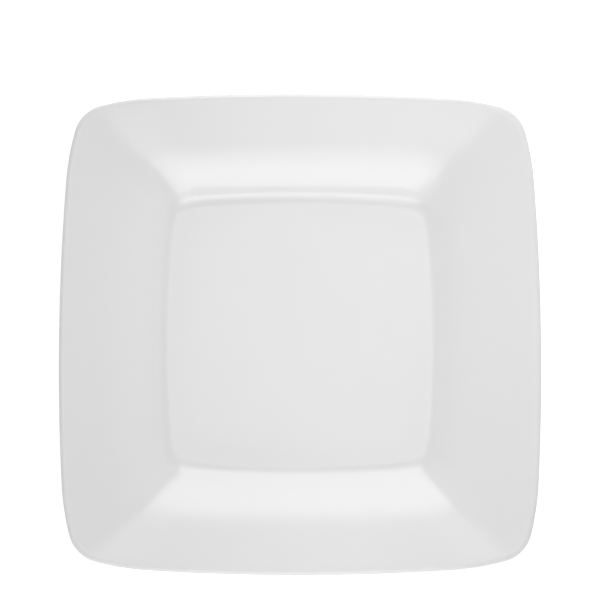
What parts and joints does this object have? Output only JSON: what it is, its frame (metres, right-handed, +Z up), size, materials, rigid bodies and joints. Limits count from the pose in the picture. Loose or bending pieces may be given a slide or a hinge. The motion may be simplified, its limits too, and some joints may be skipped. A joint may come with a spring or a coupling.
{
  "type": "square plate",
  "caption": "Square porcelain dinner plate with gently bowed sides, a wide rim that rises a little to its corners, a sunken square well and a foot ring.",
  "frame": {"origin": "middle of the plane that the foot ring stands on", "axes": "+Z up out of the well; +X and +Y through the middles of two neighbouring sides"},
  "size_m": [0.27, 0.27, 0.0349],
  "materials": {
    "biscuit_porcelain": "fired unglazed porcelain, matt and finely grained, ground flat on the standing edge",
    "white_glaze": "white glossy glaze"
  },
  "bodies": {
    "root": {"porcelain_body": "biscuit_porcelain", "main_glaze": "white_glaze", "base_glaze": "white_glaze"}
  },
  "joints": []
}
